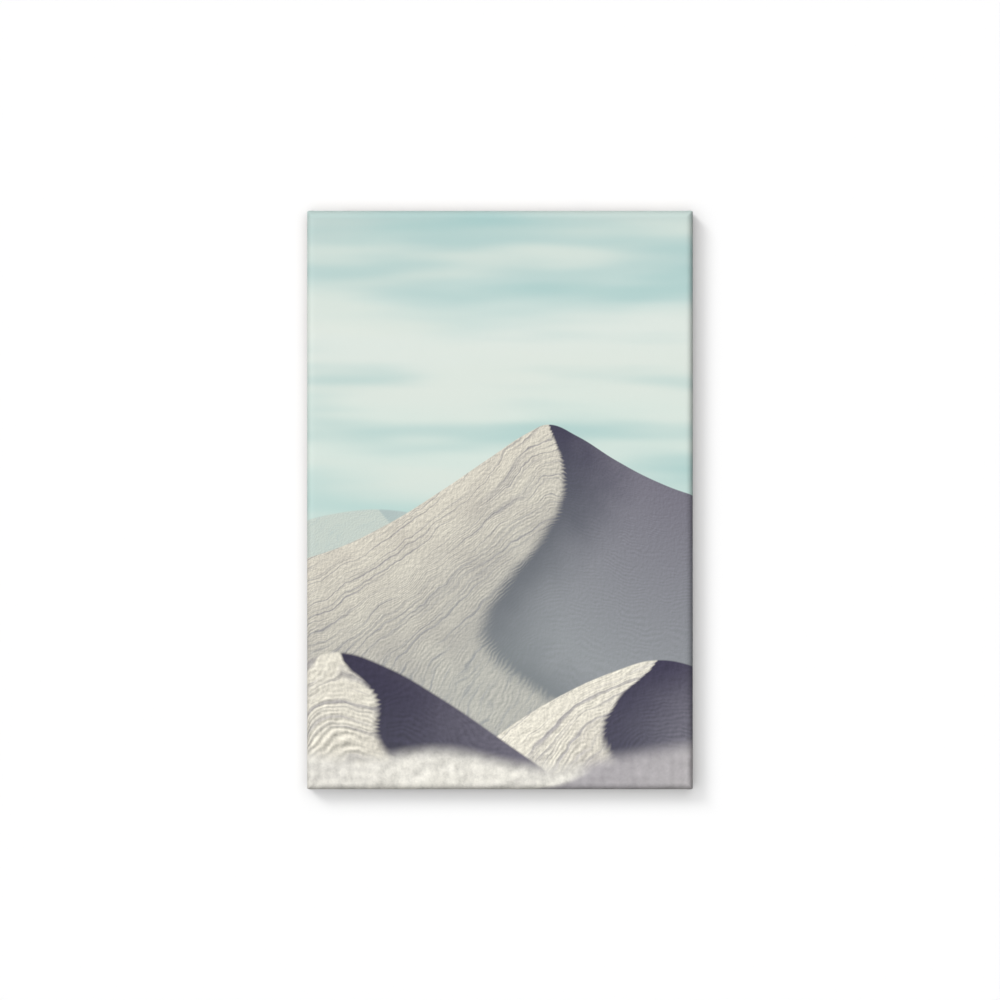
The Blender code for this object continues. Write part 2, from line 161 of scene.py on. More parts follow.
def canvas_surface():
    """The whole sheet as points, quads, and each quad corner's place on the flat sheet.

    Rings of the outline, each at its own distance run along the wrap, surround a grid that is
    flat. The corner radius grows from nothing at the flat front to its full size at the side.
    """
    flat_x, flat_z = half_width - FRONT_EDGE_RADIUS, half_height - FRONT_EDGE_RADIUS
    across, upright = spread(flat_x), spread(flat_z)
    share_x, share_z, turn, side = ring_columns(across, upright)
    rows = np.concatenate([
        np.linspace(0, edge_run, EDGE_ROWS + 1),
        edge_run + side_run * np.linspace(0, 1, SIDE_ROWS + 1)[1:],
        edge_run + side_run + fold_run * np.linspace(0, 1, FOLD_ROWS + 1)[1:],
        edge_run + side_run + fold_run + flap_run * np.linspace(0, 1, FLAP_ROWS + 1)[1:],
    ])[:, None]
    inset, y = wrap(rows)
    radius = CORNER_RADIUS * np.clip(rows / edge_run, 0, 1)
    x = share_x * (half_width - inset - radius) + radius * np.cos(turn)
    z = share_z * (half_height - inset - radius) + radius * np.sin(turn)
    y = y + np.zeros_like(x)

    # On the top and bottom the outer layer of the pleat ends just short of the corner, and its
    # folded inside makes a triangle that stands a little proud.
    upright_side = np.round(np.abs(np.sin(turn))) == 1
    on_side = np.clip(rows / edge_run, 0, 1) ** 3 * np.clip((whole_run - rows) / flap_run, 0, 1)
    from_corner = half_width - np.abs(x)
    depth_share = np.clip((rows - edge_run * 0.5) / (edge_run * 0.5 + side_run), 0, 1)
    under = np.clip((PLEAT_EDGE - from_corner) / PLEAT_EDGE_FADE, 0, 1)
    proud = np.clip((PLEAT_LENGTH * depth_share - from_corner) / PLEAT_RISE_FADE, 0, 1)
    proud *= 1 - under
    z += np.sign(z) * upright_side * on_side * (PLEAT_RISE * proud - PLEAT_DIP * under)

    # Between its staples the flap lifts off the wood, and its cut edge isn't quite straight.
    along = np.where(upright_side, x, z)
    on_flap = np.clip((rows - whole_run + flap_run) / flap_run, 0, 1)
    lift = 0.8 * np.sin(along * LIFT_WAVE + 1.3 * side) ** 2
    lift += 0.2 * np.sin(along * SLOW_LIFT_WAVE) ** 2
    to_corner = np.where(upright_side, half_width, half_height) - np.abs(along)
    away_from_corner = np.clip(to_corner / FLAT_NEAR_CORNER - 1, 0, 1)
    y += FLAP_LIFT * on_flap ** 2 * lift * away_from_corner
    cut = np.sin(along * CUT_WAVE + side) + np.sin(along * SLOW_CUT_WAVE + 2 * side)
    cut *= CUT_EDGE_WAVE * on_flap ** 3
    outward_x, outward_z = np.cos(turn), np.sin(turn)
    x -= cut * np.round(outward_x)
    z -= cut * np.round(outward_z)

    grid_x, grid_z = np.meshgrid(across * flat_x, upright * flat_z)
    flat_points = np.stack([grid_x, np.full_like(grid_x, front_y), grid_z], axis=-1)
    ring_points = np.stack([x, y, z], axis=-1)
    middle = np.array([0, 0, picture_middle.z])
    points = np.concatenate([ring_points.reshape(-1, 3), flat_points.reshape(-1, 3)]) + middle

    # Quads of the rings, then of the grid
    row_count, column_count = x.shape
    number = np.arange(row_count * column_count).reshape(row_count, column_count)
    after = np.roll(number, -1, axis=1)
    ring_quads = np.stack([number[:-1], number[1:], after[1:], after[:-1]], axis=-1).reshape(-1, 4)
    start = number.size
    cell = start + np.arange(grid_x.size).reshape(grid_x.shape)
    corners = [cell[:-1, :-1], cell[:-1, 1:], cell[1:, 1:], cell[1:, :-1]]
    flat_quads = np.stack(corners, axis=-1).reshape(-1, 4)
    quads = np.concatenate([ring_quads, flat_quads])

    # The place on the flat sheet: a side's own run counts outwards from the flat front
    run = np.concatenate([(rows + np.zeros_like(x)).ravel(), np.zeros(grid_x.size)])
    quad_side = np.concatenate([
        np.broadcast_to(side, (row_count - 1, column_count)).ravel(), np.full(len(flat_quads), -1)])
    place = (points - middle)[quads][:, :, [0, 2]]
    quad_run = run[quads]
    for number_of_side, (axis, sign, flat) in enumerate(
            [(0, 1, flat_x), (1, 1, flat_z), (0, -1, flat_x), (1, -1, flat_z)]):
        here = quad_side == number_of_side
        place[here, :, axis] = sign * (flat + quad_run[here])
    return points, quads, place


def surface_mesh(name, points, quads, places=None):
    """A mesh of quads, with the places on its flat sheet as its UV map, and doubles merged."""
    mesh = bpy.data.meshes.new(name)
    mesh.vertices.add(len(points))
    mesh.vertices.foreach_set("co", np.asarray(points, dtype=np.float32).ravel())
    mesh.loops.add(quads.size)
    mesh.loops.foreach_set("vertex_index", quads.ravel().astype(np.int32))
    mesh.polygons.add(len(quads))
    mesh.polygons.foreach_set("loop_start", np.arange(0, quads.size, 4, dtype=np.int32))
    mesh.update(calc_edges=True)
    if places is not None:
        layer = mesh.uv_layers.new(name="flat_sheet")
        layer.uv.foreach_set("vector", places.astype(np.float32).ravel())
    merged = bmesh.new()
    merged.from_mesh(mesh)
    bmesh.ops.remove_doubles(merged, verts=merged.verts, dist=0.000002)
    merged.to_mesh(mesh)
    merged.free()
    mesh.validate()
    return mesh


def add_piece(name, mesh, materials, smooth_angle=None):
    """An object at the origin that rides on the one body, shaded smooth below an angle."""
    piece = bpy.data.objects.new(name, mesh)
    bpy.context.scene.collection.objects.link(piece)
    for material in materials:
        mesh.materials.append(material)
    mesh.shade_smooth()
    if smooth_angle is not None:
        mesh.set_sharp_from_angle(angle=np.radians(smooth_angle))
    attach(piece, "root")
    return piece


def linear(hex_colour):
    """An sRGB hex colour as linear RGBA."""
    channels = np.array([int(hex_colour[i:i + 2], 16) / 255 for i in (1, 3, 5)])
    low, high = channels / 12.92, ((channels + 0.055) / 1.055) ** 2.4
    return (*np.where(channels <= 0.04045, low, high).tolist(), 1.0)


def fill_sockets(node, sockets):
    """Links each socket that is given another node's output, and sets the others."""
    for socket, source in sockets.items():
        if isinstance(source, bpy.types.NodeSocket):
            node.id_data.links.new(source, node.inputs[socket])
        else:
            node.inputs[socket].default_value = source


def add_node(tree, kind, sockets=None, output=0, **settings):
    """Adds a shader node, with its settings, and its sockets linked or set. Returns one output.

    Sockets and outputs go by name, or by number where names repeat.
    """
    node = tree.nodes.new("ShaderNode" + kind)
    for name, value in settings.items():
        setattr(node, name, value)
    fill_sockets(node, sockets or {})
    return node.outputs[output]


# A Mix of colours takes them at its sockets 6 and 7, and gives its result at output 2
OF_COLOURS = {"output": 2, "data_type": "RGBA"}


def stretched_noise(tree, place, stretch, detail=2.0, output=0, **settings):
    """Noise drawn out into streaks: the place is scaled first, by its own factor on each axis."""
    stretched = add_node(tree, "VectorMath", {0: place, 1: stretch}, operation="MULTIPLY")
    return add_node(tree, "TexNoise", {"Vector": stretched, "Scale": 1.0, "Detail": detail}, output,
                    **settings)


def fill_ramp(colour_output, stops):
    """Gives a colour ramp its stops, each a position and an sRGB hex colour."""
    elements = colour_output.node.color_ramp.elements
    while len(elements) < len(stops):
        elements.new(1.0)
    for element, (position, colour) in zip(elements, stops):
        element.position = position
        element.color = linear(colour)


def new_material(name):
    """A material with one Principled shader, and that shader's tree."""
    material = bpy.data.materials.new(name)
    material.use_nodes = True
    return material, material.node_tree, material.node_tree.nodes["Principled BSDF"]


# The printed view: its colours are what the ink and the primed cloth reflect. A place on the flat
# sheet is in metres from the picture's middle, right and up.
PRINT_WHITE = 0.88
PRIMER_COLOUR = "#f3f1ea"
# The curves and colours below reach this far from the sheet's middle
SHEET_REACH = 0.3
SKY_DRIFT = 0.07
# Real threads are 0.5 mm apart. They are drawn twice as coarse, so that they still show.
THREAD_PITCH = 0.0010
SKY_COLOURS = (
    (-0.300, "#8cc2c4"), (-0.110, "#9bcccb"), (-0.035, "#b0d6d2"), (0.010, "#c9e0da"),
    (0.060, "#dceae2"), (0.120, "#e2ebe3"), (0.165, "#e3ece5"), (0.205, "#cfe2dd"),
    (0.250, "#b9d5d2"), (0.275, "#bfd8d4"), (0.300, "#cadbd6"),
)
# Each dune has a crest, a height for every place across, and a ridge that winds down from it, a
# place across for every height. Sand is lit left of the ridge and shaded right of it. The pairs are
# lit sand at the crest and far below, shaded sand at the ridge and far from it, and the share of
# haze at the crest and far below. Blur is how soft the crest is, size how near the dune is, and
# spacing and ripples are its ripples' step and depth.
DUNES = (
    {"crest": ((-0.24, -0.036), (-0.17, -0.014), (-0.10, -0.012), (-0.03, -0.034), (0.24, -0.080)),
     "ridge": ((-0.30, 0.02), (-0.06, -0.05), (-0.03, -0.11), (0.30, -0.14)),
     "lit": ("#ccd3c9", "#bcc8c3"), "shade": ("#9fb1b3", "#afbfbe"), "haze": (0.40, 0.80),
     "blur": 0.0012, "size": 0.4, "spacing": 0.002, "ripples": 0.04},
    {"crest": ((-0.24, -0.068), (-0.18, -0.054), (-0.12, -0.027), (-0.06, 0.010), (-0.01, 0.044),
               (0.03, 0.070), (0.05, 0.078), (0.08, 0.066), (0.12, 0.041), (0.16, 0.020),
               (0.20, 0.005), (0.24, -0.004)),
     "ridge": ((-0.30, 0.16), (-0.23, 0.080), (-0.19, 0.018), (-0.155, -0.018), (-0.12, -0.020),
               (-0.08, 0.004), (-0.04, 0.038), (0.00, 0.060), (0.04, 0.062), (0.076, 0.050),
               (0.30, 0.03)),
     "lit": ("#dfd9ca", "#b6aea5"), "shade": ("#3a364e", "#777481"), "haze": (0.02, 0.30),
     "blur": 0.0006, "size": 0.8, "spacing": 0.0026, "ripples": 0.17},
    {"crest": ((-0.24, -0.42), (-0.06, -0.292), (0.00, -0.242), (0.06, -0.204), (0.12, -0.177),
               (0.16, -0.166), (0.20, -0.172), (0.24, -0.19)),
     "ridge": ((-0.30, 0.145), (-0.25, 0.104), (-0.21, 0.118), (-0.166, 0.160), (0.30, 0.16)),
     "lit": ("#f0ebdc", "#cfc7bc"), "shade": ("#403c52", "#8b8893"), "haze": (0.0, 0.12),
     "blur": 0.0010, "size": 1.4, "spacing": 0.0038, "ripples": 0.24},
    {"crest": ((-0.24, -0.188), (-0.19, -0.162), (-0.165, -0.158), (-0.12, -0.172), (-0.06, -0.206),
               (0.00, -0.247), (0.06, -0.290), (0.24, -0.43)),
     "ridge": ((-0.30, -0.085), (-0.25, -0.128), (-0.20, -0.134), (-0.158, -0.165), (0.30, -0.17)),
     "lit": ("#eee9da", "#cbc4b9"), "shade": ("#39354b", "#807d89"), "haze": (0.0, 0.10),
     "blur": 0.0020, "size": 1.8, "spacing": 0.0046, "ripples": 0.26},
    {"crest": ((-0.24, -0.250), (-0.15, -0.268), (-0.06, -0.260), (0.04, -0.277), (0.13, -0.264),
               (0.24, -0.246)),
     "ridge": ((-0.30, 0.03), (-0.28, 0.08), (-0.24, 0.07), (0.30, 0.0)),
     "lit": ("#f3f0e6", "#d8d4cb"), "shade": ("#b3afb2", "#d2cfca"), "haze": (0.0, 0.0),
     "blur": 0.0110, "size": 4.0, "spacing": 0.02, "ripples": 0.0},
)
HAZE = "#cfdcd5"
# Each of these is full this far below the crest
HAZE_DEPTH = 0.22
TONE_DEPTH = 0.18
RIPPLES_DEPTH = 0.09
# Ripples
RIPPLE_GROWTH = 0.012
RIPPLE_SWAY = 0.030
RIPPLE_SLANT = 0.30
RIPPLE_MISMATCH = 17.0
RIPPLES_AT_CREST = 0.15
RIPPLES_ON_RIDGE = 0.22
# Sand
LIGHT_STEP = 0.0012
LUMP_CONTRAST = 0.9
HOLLOW_CONTRAST = 0.9
STREAKS_DOWN = 60
STREAKS_ACROSS = 9
# Ridge and shade
SHARPEST_RIDGE = 0.0012
RIDGE_SOFTENING = 0.06
RIDGE_WANDER = 0.012
SHADE_WANDER = 0.05
SHADE_REACH = 0.12
GRAIN_IN_SHADE = 0.6

canvas_front, tree, shader = new_material("matt printed poly-cotton canvas")
place = add_node(tree, "UVMap", uv_map="flat_sheet")
right_of = add_node(tree, "SeparateXYZ", {0: place}, output="X")
above = right_of.node.outputs["Y"]

# Sky: level bands that drift a little up and down, with soft long clouds
drift = stretched_noise(tree, place, (3.5, 13.0, 0.0), noise_dimensions="2D")
level = add_node(tree, "Math", {0: drift, 1: SKY_DRIFT, 2: above}, operation="MULTIPLY_ADD")
share = add_node(tree, "MapRange",
                 {"Value": level, "From Min": SKY_DRIFT / 2 - SHEET_REACH,
                  "From Max": SKY_DRIFT / 2 + SHEET_REACH})
view = add_node(tree, "ValToRGB", {0: share})
view.node.color_ramp.interpolation = "EASE"
fill_ramp(view, [(height / SHEET_REACH / 2 + 0.5, colour) for height, colour in SKY_COLOURS])
cloud_place = add_node(tree, "VectorMath", {0: place, 1: (3.2, 22.0, 0.0), 2: (5.0, 2.0, 0.0)},
                       operation="MULTIPLY_ADD")
clouds = add_node(tree, "TexNoise",
                  {"Vector": cloud_place, "Scale": 1.0, "Detail": 2.0, "Roughness": 0.4},
                  noise_dimensions="2D")
for low, high, strength, colour in ((0.48, 0.78, 0.70, "#e4ece3"), (0.52, 0.22, 0.60, "#9fcac9")):
    cloud_share = add_node(tree, "MapRange",
                           {"Value": clouds, "From Min": low, "From Max": high, "To Max": strength},
                           interpolation_type="SMOOTHSTEP")
    view = add_node(tree, "Mix", {0: cloud_share, 6: view, 7: linear(colour)}, **OF_COLOURS)

# Dunes, from the farthest to the nearest
for number, dune in enumerate(DUNES):
    lit_near, lit_far = [linear(colour) for colour in dune["lit"]]
    shade_near, shade_far = [linear(colour) for colour in dune["shade"]]
    curves = []
    for line, source in ((dune["crest"], right_of), (dune["ridge"], above)):
        along = add_node(tree, "MapRange",
                         {"Value": source, "From Min": -SHEET_REACH, "From Max": SHEET_REACH})
        curve = add_node(tree, "FloatCurve", {"Value": along})
        curve_points = curve.node.mapping.curves[0].points
        while len(curve_points) < len(line):
            curve_points.new(0.5, 0.5)
        for curve_point, (where, value) in zip(curve_points, line):
            curve_point.location = (where / SHEET_REACH / 2 + 0.5, value + 0.5)
        curve.node.mapping.update()
        curves.append(add_node(tree, "Math", {0: curve, 1: 0.5}, operation="SUBTRACT"))
    crest, ridge = curves
    below = add_node(tree, "Math", {0: crest, 1: above}, operation="SUBTRACT")
    beyond = add_node(tree, "Math", {0: right_of, 1: ridge}, operation="SUBTRACT")

    # Three slow noises: hollows in the sand, the ripples' sway, and where two sets of them agree
    spot = add_node(tree, "VectorMath",
                    {0: place, 1: (1 / dune["size"], 1 / dune["size"], 0), 2: (3 * number, 0, 0)},
                    operation="MULTIPLY_ADD")
    slow = add_node(tree, "TexNoise", {"Vector": spot, "Scale": 19.0, "Detail": 3.0},
                    output="Color", noise_dimensions="2D")
    hollows = add_node(tree, "SeparateXYZ", {0: slow}, output="X")
    sway, patches = hollows.node.outputs["Y"], hollows.node.outputs["Z"]

    # Ripples: their spacing grows with the distance below the crest, so their count is a logarithm,
    # of a number kept above zero. Two sets of waves that nearly agree make them fork and fade.
    level = add_node(tree, "Math", {0: sway, 1: RIPPLE_SWAY * dune["size"], 2: below},
                     operation="MULTIPLY_ADD")
    level = add_node(tree, "Math", {0: beyond, 1: RIPPLE_SLANT, 2: level}, operation="MULTIPLY_ADD")
    grown = add_node(tree, "Math", {0: level, 1: RIPPLE_GROWTH / dune["spacing"], 2: 1.0},
                     operation="MULTIPLY_ADD")
    grown = add_node(tree, "Math", {0: grown, 1: 0.02}, operation="MAXIMUM")
    count = add_node(tree, "Math", {0: grown, 1: np.e}, operation="LOGARITHM")
    turns = add_node(tree, "Math", {0: count, 1: 2 * np.pi / RIPPLE_GROWTH}, operation="MULTIPLY")
    shifted = add_node(tree, "Math", {0: patches, 1: RIPPLE_MISMATCH, 2: turns},
                       operation="MULTIPLY_ADD")
    wave = add_node(tree, "Math", {0: turns}, operation="SINE")
    other_wave = add_node(tree, "Math", {0: shifted}, operation="SINE")
    waves = add_node(tree, "Math", {0: wave, 1: other_wave})
    crispness = add_node(tree, "MapRange",
                         {"Value": below, "From Max": RIPPLES_DEPTH,
                          "To Min": RIPPLES_AT_CREST * dune["ripples"],
                          "To Max": dune["ripples"] / 2})
    ripples = add_node(tree, "Math", {0: waves, 1: crispness, 2: 1.0}, operation="MULTIPLY_ADD")

    # Grain: lumps in the sand, lit from the upper left, as the change of a noise along the light
    moved = add_node(tree, "VectorMath", {0: spot, 1: (LIGHT_STEP, -LIGHT_STEP, 0)})
    lumps = [add_node(tree, "TexNoise",
                      {"Vector": sample, "Scale": 210.0, "Detail": 4.0, "Roughness": 0.65},
                      noise_dimensions="2D")
             for sample in (spot, moved)]
    lump_slope = add_node(tree, "Math", {0: lumps[0], 1: lumps[1]}, operation="SUBTRACT")
    grain = add_node(tree, "Math", {0: lump_slope, 1: LUMP_CONTRAST, 2: ripples},
                     operation="MULTIPLY_ADD")

    # Lit sand is palest at the crest, and heavy dark grains gather in streaks
    depth = add_node(tree, "MapRange", {"Value": below, "From Max": TONE_DEPTH})
    rise = add_node(tree, "Math", {0: hollows, 1: -HOLLOW_CONTRAST, 2: HOLLOW_CONTRAST / 2},
                    operation="MULTIPLY_ADD")
    tone = add_node(tree, "Math", {0: depth, 1: rise}, use_clamp=True)
    lit = add_node(tree, "Mix", {0: tone, 6: lit_near, 7: lit_far}, **OF_COLOURS)
    drawn_out = add_node(tree, "CombineXYZ", {"X": count, "Y": beyond})
    drawn_out = add_node(tree, "VectorMath",
                         {0: drawn_out,
                          1: (STREAKS_DOWN / dune["size"], STREAKS_ACROSS / dune["size"], 0),
                          2: (3 * number, 0, 0)}, operation="MULTIPLY_ADD")
    streaks = add_node(tree, "TexNoise",
                       {"Vector": drawn_out, "Scale": 1.0, "Detail": 4.0, "Roughness": 0.6},
                       noise_dimensions="2D")
    streak = add_node(tree, "MapRange",
                      {"Value": streaks, "From Min": 0.46, "From Max": 0.76, "To Max": 0.7},
                      interpolation_type="SMOOTHSTEP")
    lit = add_node(tree, "Mix", {0: streak, 6: lit, 7: shade_far}, **OF_COLOURS)
    lit = add_node(tree, "VectorMath", {0: lit, "Scale": grain}, operation="SCALE")

    # Shaded sand is darkest along the ridge. The ridge is sharp at the crest and softens below.
    from_ridge = add_node(tree, "Math", {0: rise, 1: SHADE_WANDER, 2: beyond},
                          operation="MULTIPLY_ADD")
    reflected = add_node(tree, "MapRange",
                         {"Value": from_ridge, "From Max": SHADE_REACH * dune["size"]},
                         interpolation_type="SMOOTHSTEP")
    shade = add_node(tree, "Mix", {0: reflected, 6: shade_near, 7: shade_far}, **OF_COLOURS)
    faint = add_node(tree, "Math", {0: grain, 1: GRAIN_IN_SHADE, 2: 1 - GRAIN_IN_SHADE},
                     operation="MULTIPLY_ADD")
    shade = add_node(tree, "VectorMath", {0: shade, "Scale": faint}, operation="SCALE")
    wandering = add_node(tree, "Math", {0: rise, 1: RIDGE_WANDER * dune["size"], 2: beyond},
                         operation="MULTIPLY_ADD")
    softness = add_node(tree, "Math",
                        {0: below, 1: RIDGE_SOFTENING, 2: max(SHARPEST_RIDGE, dune["blur"])},
                        operation="MULTIPLY_ADD")
    turned = add_node(tree, "Math", {0: wandering, 1: softness}, operation="DIVIDE")
    turned = add_node(tree, "Math", {0: waves, 1: RIPPLES_ON_RIDGE, 2: turned},
                      operation="MULTIPLY_ADD")
    in_shade = add_node(tree, "MapRange", {"Value": turned, "From Min": -0.5, "From Max": 1.5},
                        interpolation_type="SMOOTHSTEP")
    sand = add_node(tree, "Mix", {0: in_shade, 6: lit, 7: shade}, **OF_COLOURS)
    haze = add_node(tree, "MapRange",
                    {"Value": below, "From Max": HAZE_DEPTH, "To Min": dune["haze"][0],
                     "To Max": dune["haze"][1]})
    sand = add_node(tree, "Mix", {0: haze, 6: sand, 7: linear(HAZE)}, **OF_COLOURS)
    inside = add_node(tree, "MapRange",
                      {"Value": below, "From Min": -dune["blur"], "From Max": dune["blur"]},
                      interpolation_type="SMOOTHSTEP")
    view = add_node(tree, "Mix", {0: inside, 6: view, 7: sand}, **OF_COLOURS)

# The print runs a little way onto the flap. Past that the primed cloth is bare.
flap_x = half_width - FRONT_EDGE_RADIUS + whole_run - flap_run
flap_z = half_height - FRONT_EDGE_RADIUS + whole_run - flap_run
reach = add_node(tree, "VectorMath", {0: place}, operation="ABSOLUTE")
past = add_node(tree, "VectorMath",
                {0: reach, 1: (flap_x + PRINT_ON_FLAP, flap_z + PRINT_ON_FLAP, 0)},
                operation="SUBTRACT")
past_x = add_node(tree, "SeparateXYZ", {0: past}, output="X")
past_print = add_node(tree, "Math", {0: past_x, 1: past_x.node.outputs["Y"]}, operation="MAXIMUM")
bare = add_node(tree, "MapRange", {"Value": past_print, "From Min": -0.0001, "From Max": 0.0001})
ink = add_node(tree, "Mix", {0: bare, 6: view, 7: linear(PRIMER_COLOUR)}, **OF_COLOURS)


def weave(tree, place):
    """A plain weave's height: ridges that run up in one cell and across in the next.

    The ridges are sine waves one thread wide, a little bent, and a chequer picks which is on top.
    """
    bend = add_node(tree, "TexNoise",
                    {"Vector": place, "Scale": 0.2 / THREAD_PITCH, "Detail": 1.0}, output="Color",
                    noise_dimensions="2D")
    bent = add_node(tree, "VectorMath",
                    {0: bend, 1: (THREAD_PITCH / 2, THREAD_PITCH / 2, 0), 2: place},
                    operation="MULTIPLY_ADD")
    # A wave texture repeats every 2 pi / 20 of its scaled place
    ridge_scale = 2 * np.pi / 20 / THREAD_PITCH
    warp, weft = [add_node(tree, "TexWave", {"Vector": bent, "Scale": ridge_scale}, output="Fac",
                           bands_direction=direction) for direction in ("X", "Y")]
    on_top = add_node(tree, "TexChecker", {"Vector": bent, "Scale": 1 / THREAD_PITCH}, output="Fac")
    return add_node(tree, "Mix", {0: on_top, 2: warp, 3: weft}, data_type="FLOAT")


# Painted shade darkens the print up to 2.5 percent between threads. The primer leaves it matt.
threads = weave(tree, place)
painted_weave_shade = add_node(tree, "MapRange",
                {"Value": threads, "To Min": PRINT_WHITE * 0.975, "To Max": PRINT_WHITE})
printed = add_node(tree, "VectorMath", {0: ink, "Scale": painted_weave_shade}, operation="SCALE")
relief = add_node(tree, "Bump", {"Strength": 0.22, "Distance": 0.0002, "Height": threads})
fill_sockets(shader, {"Base Color": printed, "Normal": relief, "Roughness": 0.8,
                      "Specular IOR Level": 0.25})

# The back is undyed cream threads, with painted shade between them, slubs and flecks of seed husk.
canvas_back, tree, shader = new_material("bare back of poly-cotton canvas")
place = add_node(tree, "UVMap", uv_map="flat_sheet")
threads = weave(tree, place)
# Painted shade: the cloth is darker where the weave lies low, between the threads
cloth = add_node(tree, "Mix", {0: threads, 6: linear("#b9ab8d"), 7: linear("#e3dac4")},
                 **OF_COLOURS)
for stretch in ((40, 700, 0), (700, 40, 0)):
    slubs = stretched_noise(tree, place, stretch, noise_dimensions="2D")
    paler = add_node(tree, "MapRange",
                     {"Value": slubs, "From Min": 0.3, "From Max": 0.7,
                      "To Min": 0.93, "To Max": 1.05})
    cloth = add_node(tree, "VectorMath", {0: cloth, "Scale": paler}, operation="SCALE")
husks = add_node(tree, "TexVoronoi", {"Vector": place, "Scale": 90.0}, output="Distance")
husk = add_node(tree, "MapRange",
                {"Value": husks, "From Min": 0.045, "From Max": 0.03, "To Max": 0.55})
cloth = add_node(tree, "Mix", {0: husk, 6: cloth, 7: linear("#7d6544")}, **OF_COLOURS)
relief = add_node(tree, "Bump", {"Strength": 0.6, "Distance": 0.0003, "Height": threads})
fill_sockets(shader, {"Base Color": cloth, "Normal": relief, "Roughness": 0.92,
                      "Specular IOR Level": 0.2, "Sheen Weight": 0.15})

points, quads, places = canvas_surface()
canvas = add_piece("printed_canvas", surface_mesh("printed_canvas", points, quads, places),
                   [canvas_front, canvas_back])
cloth_layer = canvas.modifiers.new("thickness of the cloth", "SOLIDIFY")
cloth_layer.thickness = CANVAS_THICKNESS
cloth_layer.offset = -1
cloth_layer.material_offset = 1
cloth_layer.material_offset_rim = 1
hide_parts("canvas")
# No light bounces off the cloth onto the wall, where it would leave a bright rim round the picture
canvas.visible_diffuse = False

# Folded corners: at each one a triangle of the sheet lies over the top or bottom flap, and its
# folded edge runs from the flaps' inner corner to the outer edge.
FOLD_LENGTH = 0.040
FOLD_PUFF = 0.0002
FOLD_TIP_INSET = 0.0004
FOLD_INNER_GAP = 0.0008
FOLD_ROUNDING = 0.07

# Every place is the corner, plus a share of the way to a point on the folded edge. The cloth puffs
# up in the middle and turns down by half its thickness at the folded edge.
across_fold, along_fold = np.meshgrid(np.linspace(0, 1, 15), np.linspace(0, 1, 25), indexing="ij")
outline = np.array([half_width, half_height])
inner = outline - FLAP_WIDTH - FOLD_INNER_GAP
tail = outline - (FOLD_LENGTH, BACK_FOLD_RADIUS)
corner = outline - BACK_FOLD_RADIUS - FOLD_TIP_INSET
edge = inner + along_fold[..., None] * (tail - inner)
fold_x, fold_z = np.moveaxis(corner + across_fold[..., None] * (edge - corner), -1, 0)
puff = FOLD_PUFF * np.sin(np.pi * across_fold) * np.sin(np.pi * along_fold)
rounded = np.clip((across_fold - 1) / FOLD_ROUNDING + 1, 0, 1) ** 2
fold_y = back_y + CANVAS_THICKNESS + puff - CANVAS_THICKNESS / 2 * rounded
number = np.arange(fold_y.size).reshape(fold_y.shape)
order = [number[:-1, :-1], number[1:, :-1], number[1:, 1:], number[:-1, 1:]]

for sign_x, sign_z in ((1, 1), (-1, 1), (-1, -1), (1, -1)):
    fold_points = np.stack([sign_x * fold_x, fold_y, sign_z * fold_z + picture_middle.z], axis=-1)
    fold_quads = np.stack(order if sign_x * sign_z > 0 else order[::-1], axis=-1).reshape(-1, 4)
    sheet_place = np.stack([sign_x * fold_x, sign_z * (flap_z + tail[1] - fold_z)], axis=-1)
    tier = "upper" if sign_z > 0 else "lower"
    hand = "right" if sign_x > 0 else "left"
    fold_name = f"folded_corner_{tier}_{hand}"
    fold_mesh = surface_mesh(fold_name, fold_points.reshape(-1, 3), fold_quads,
                             sheet_place.reshape(-1, 2)[fold_quads])
    fold = add_piece(fold_name, fold_mesh, [canvas_front, canvas_back], smooth_angle=50)
    cloth_layers = fold.modifiers.new("layers of the cloth", "SOLIDIFY")
    cloth_layers.thickness = CANVAS_THICKNESS
    cloth_layers.offset = -1

# Loose threads: short ends of cotton that fray from the cut edge onto the wood
THREAD_COUNT = 150
THREAD_RADIUS = 0.00013
THREAD_LENGTHS = (0.0015, 0.006)
THREAD_LEAN = 0.5
THREAD_CURL = 90
THREAD_ROOT = 0.0006
THREAD_LIFT = 0.0001
THREAD_WAVE = 0.0002
# Threads start within this share of each side's half length, clear of the corners
THREADED_SHARE = 0.86


def tubes(paths, radius, sides=5):
    """Closed thin tubes. Each ring is the path's point plus a circle across the path, and the
    circle shrinks to nothing at both ends."""
    step = np.gradient(paths, axis=1)
    step /= np.linalg.norm(step, axis=2, keepdims=True)
    out = np.array([0.0, 1.0, 0.0])
    beside = np.cross(step, out)
    beside /= np.linalg.norm(beside, axis=2, keepdims=True)
    above_path = np.cross(beside, step)
    angle = np.linspace(0, 2 * np.pi, sides, endpoint=False)[:, None]
    taper = np.sqrt(np.clip(np.sin(np.linspace(0, np.pi, paths.shape[1])), 0, 1))[:, None, None]
    ring = beside[:, :, None] * np.cos(angle) + above_path[:, :, None] * np.sin(angle)
    tube_points = paths[:, :, None] + radius * taper * ring
    number = np.arange(tube_points[..., 0].size).reshape(tube_points.shape[:3])
    after = np.roll(number, -1, axis=2)
    quads = np.stack([number[:, :-1], number[:, 1:], after[:, 1:], after[:, :-1]], axis=-1)
    return tube_points.reshape(-1, 3), quads.reshape(-1, 4)


